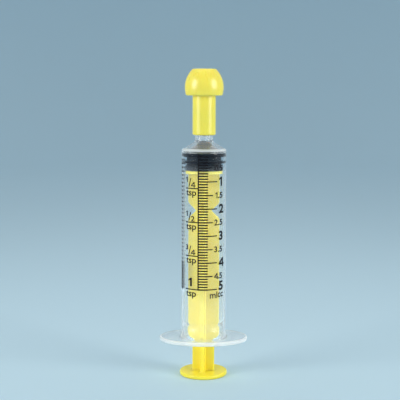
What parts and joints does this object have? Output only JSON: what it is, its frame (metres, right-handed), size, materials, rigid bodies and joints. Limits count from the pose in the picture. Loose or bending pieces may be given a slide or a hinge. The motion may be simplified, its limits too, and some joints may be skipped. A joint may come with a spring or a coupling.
{
  "type": "pet feeding syringe",
  "caption": "Oral feeding syringe: clear graduated barrel with an oval finger flange, yellow ribbed plunger with a black rubber stopper, and a yellow mushroom tip cap.",
  "frame": {"origin": "centre of the plunger's round thumb rest, on its outer face, which the syringe stands on", "axes": "+Z along the syringe from the thumb rest to the tip cap; X along the long axis of the oval finger flange; the printed scale faces -Y"},
  "size_m": [0.0281, 0.0186, 0.0977],
  "materials": {
    "clear_polypropylene": "gloss",
    "yellow_polypropylene": "satin",
    "black_rubber": "satin",
    "yellow_cap_plastic": "satin"
  },
  "bodies": {
    "barrel": {"barrel": "clear_polypropylene"},
    "stopper": {"stopper": "black_rubber"},
    "plunger": {"plunger": "yellow_polypropylene"},
    "tip_cap": {"tip_cap": "yellow_cap_plastic"}
  },
  "joints": [
    {"name": "plunger_slide", "type": "slide", "parent": "barrel", "child": "stopper", "axis": [0, 0, -1], "range_m": [0, 0.048]},
    {"name": "plunger_spin", "type": "hinge", "parent": "stopper", "child": "plunger", "pos_m": [0, 0, 0], "axis": [0, 0, 1], "continuous": true},
    {"name": "cap_pull", "type": "slide", "parent": "barrel", "child": "tip_cap", "axis": [0, 0, 1], "range_m": [0, 0.012]}
  ]
}
